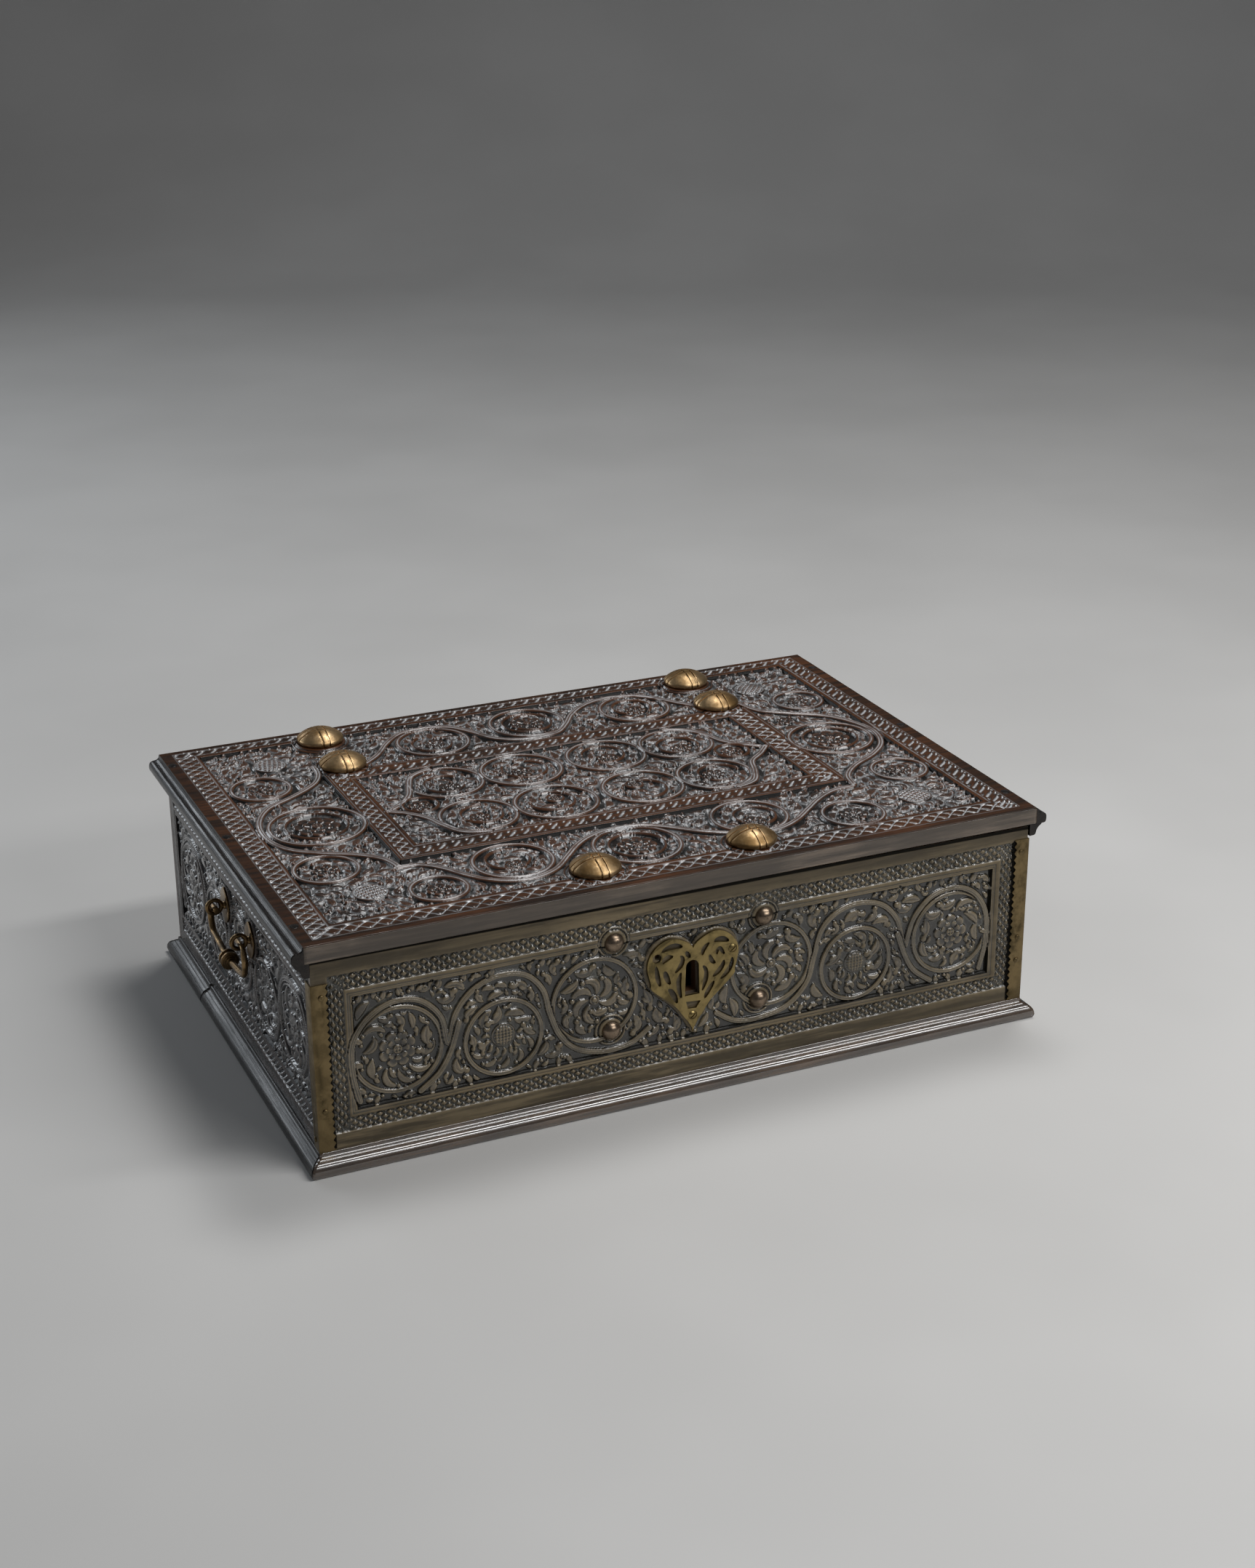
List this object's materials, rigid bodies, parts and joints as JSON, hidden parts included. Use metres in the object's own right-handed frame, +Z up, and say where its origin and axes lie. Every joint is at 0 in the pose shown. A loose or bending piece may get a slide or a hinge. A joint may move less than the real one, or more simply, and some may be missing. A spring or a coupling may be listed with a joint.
{
  "type": "document box",
  "caption": "Low carved wooden box with a flat overhanging lid on strap hinges, a heart shaped lock escutcheon, domed rivets and a swinging bail handle on each side.",
  "frame": {"origin": "centre of the footprint, on the surface that the box stands on", "axes": "+X to the right as seen from the front, along the long side; -Y towards the front, where the escutcheon is; +Z up"},
  "size_m": [0.4994, 0.334, 0.1562],
  "materials": {
    "carved_wood": "carved, dark waxed, pale wax residue in the recesses",
    "plain_wood": "plain, near black old wax with worn edges",
    "old_brass": "hammered sheet and cast brass, brown patina",
    "dark_iron": "hand forged, dark and smooth from handling"
  },
  "bodies": {
    "case": {"bottom_board": "plain_wood", "front_panel": "carved_wood", "back_panel": "carved_wood", "left_panel": "carved_wood", "right_panel": "carved_wood", "base_moulding_front": "plain_wood", "base_moulding_back": "plain_wood", "base_moulding_right": "plain_wood", "base_moulding_left_front": "plain_wood", "base_moulding_left_rear": "plain_wood", "escutcheon": "old_brass", "escutcheon_screws": "old_brass", "corner_strip_left": "old_brass", "corner_strip_right": "old_brass", "corner_strip_nails": "old_brass", "hinge_case_strap_left": "old_brass", "hinge_case_strap_right": "old_brass", "hinge_pins": "old_brass", "hinge_case_rivets": "old_brass", "lock_plate": "old_brass", "lock_case": "old_brass", "lock_spring": "dark_iron", "lock_nails": "dark_iron", "handle_plates_left": "old_brass", "handle_plates_right": "old_brass", "handle_eyes_left": "old_brass", "handle_eyes_right": "old_brass"},
    "lid": {"lid_board": "carved_wood", "lid_moulding_left": "plain_wood", "lid_moulding_right": "plain_wood", "lid_plugs": "plain_wood", "batten_nails": "dark_iron", "hinge_lid_strap_left": "old_brass", "hinge_lid_strap_right": "old_brass", "hinge_bosses": "old_brass", "catch_bosses": "old_brass", "catch_plate": "old_brass", "catch_staple": "dark_iron"},
    "bail_left": {"handle_bail_left": "old_brass"},
    "bail_right": {"handle_bail_right": "old_brass"},
    "bolt": {"lock_bolt": "dark_iron"}
  },
  "joints": [
    {"name": "lid_hinge", "type": "hinge", "parent": "case", "child": "lid", "pos_m": [0, 0.1624, 0.1326], "axis": [-1, 0, 0], "range_deg": [0, 105]},
    {"name": "bail_left_swing", "type": "hinge", "parent": "case", "child": "bail_left", "pos_m": [-0.24355, -0.004, 0.09355], "axis": [0, 1, 0], "range_deg": [0, 175]},
    {"name": "bail_right_swing", "type": "hinge", "parent": "case", "child": "bail_right", "pos_m": [0.24355, -0.004, 0.09355], "axis": [0, -1, 0], "range_deg": [0, 175]},
    {"name": "bolt_slide", "type": "slide", "parent": "case", "child": "bolt", "axis": [1, 0, 0], "range_m": [0, 0.009]}
  ]
}
